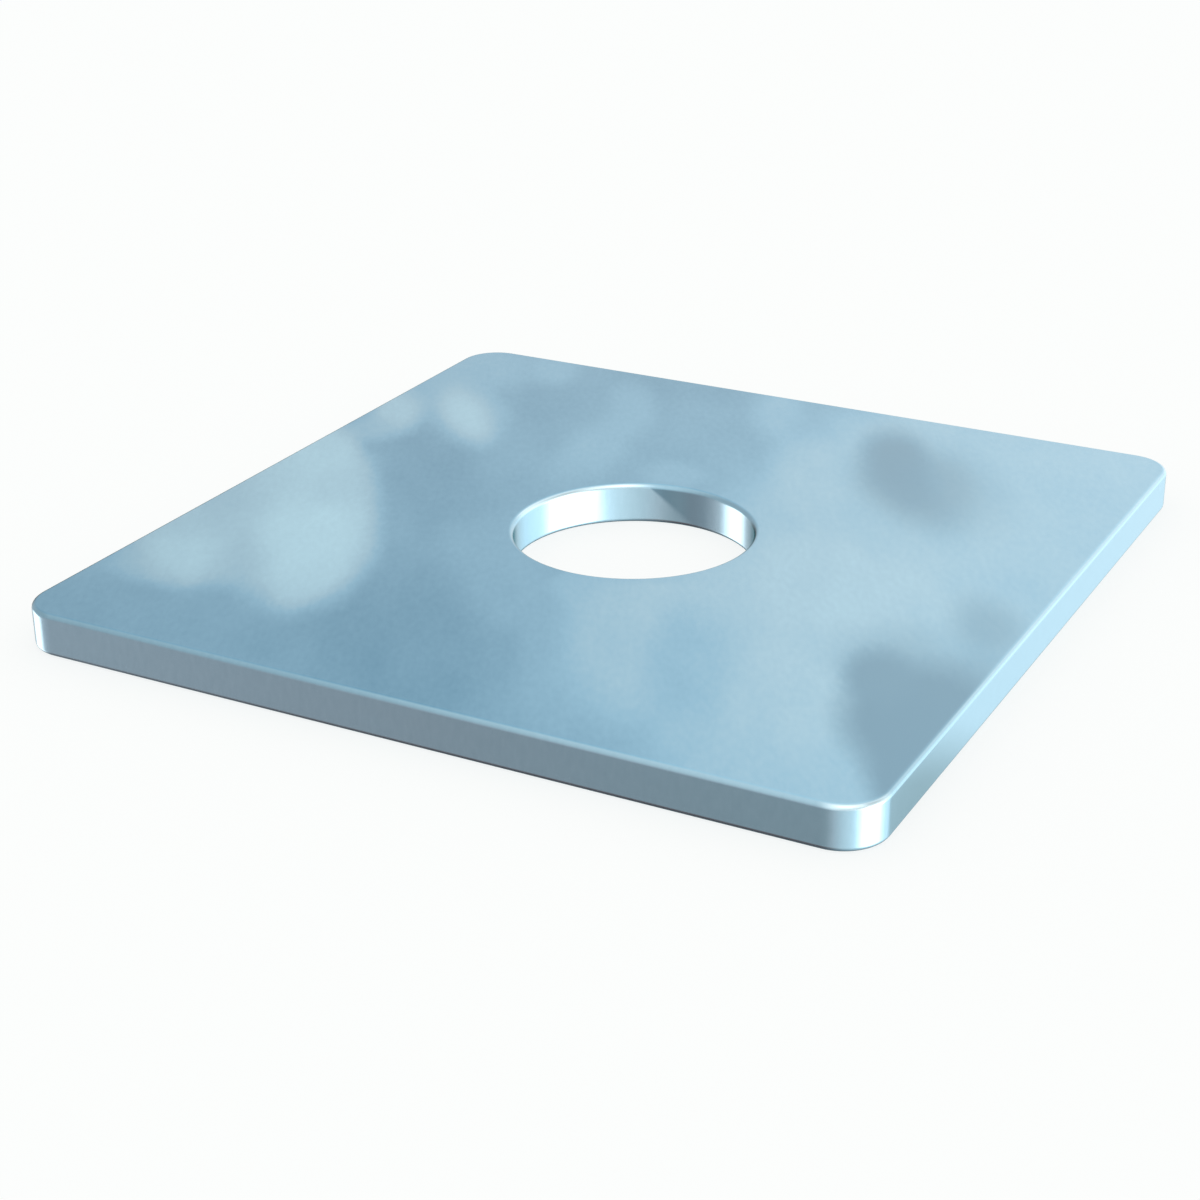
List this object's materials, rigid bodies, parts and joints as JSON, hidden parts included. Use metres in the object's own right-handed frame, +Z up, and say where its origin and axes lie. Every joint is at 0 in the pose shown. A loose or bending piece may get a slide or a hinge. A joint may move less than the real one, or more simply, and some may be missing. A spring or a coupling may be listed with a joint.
{
  "type": "square plate washer",
  "caption": "Flat square zinc-plated steel washer with rounded corners, softened edges and a plain round bolt hole, to spread a bolt's load.",
  "frame": {"origin": "centre of the bolt hole on the underside of the plate", "axes": "+Z up through the plate along the bolt hole; X and Y square to the sides, and a quarter turn brings the plate back to itself"},
  "size_m": [0.05, 0.05, 0.0025],
  "materials": {
    "zinc_plate": "bright zinc plating with a blue tint over smooth pressed steel, faintly clouded"
  },
  "bodies": {
    "root": {"plate_washer": "zinc_plate"}
  },
  "joints": []
}
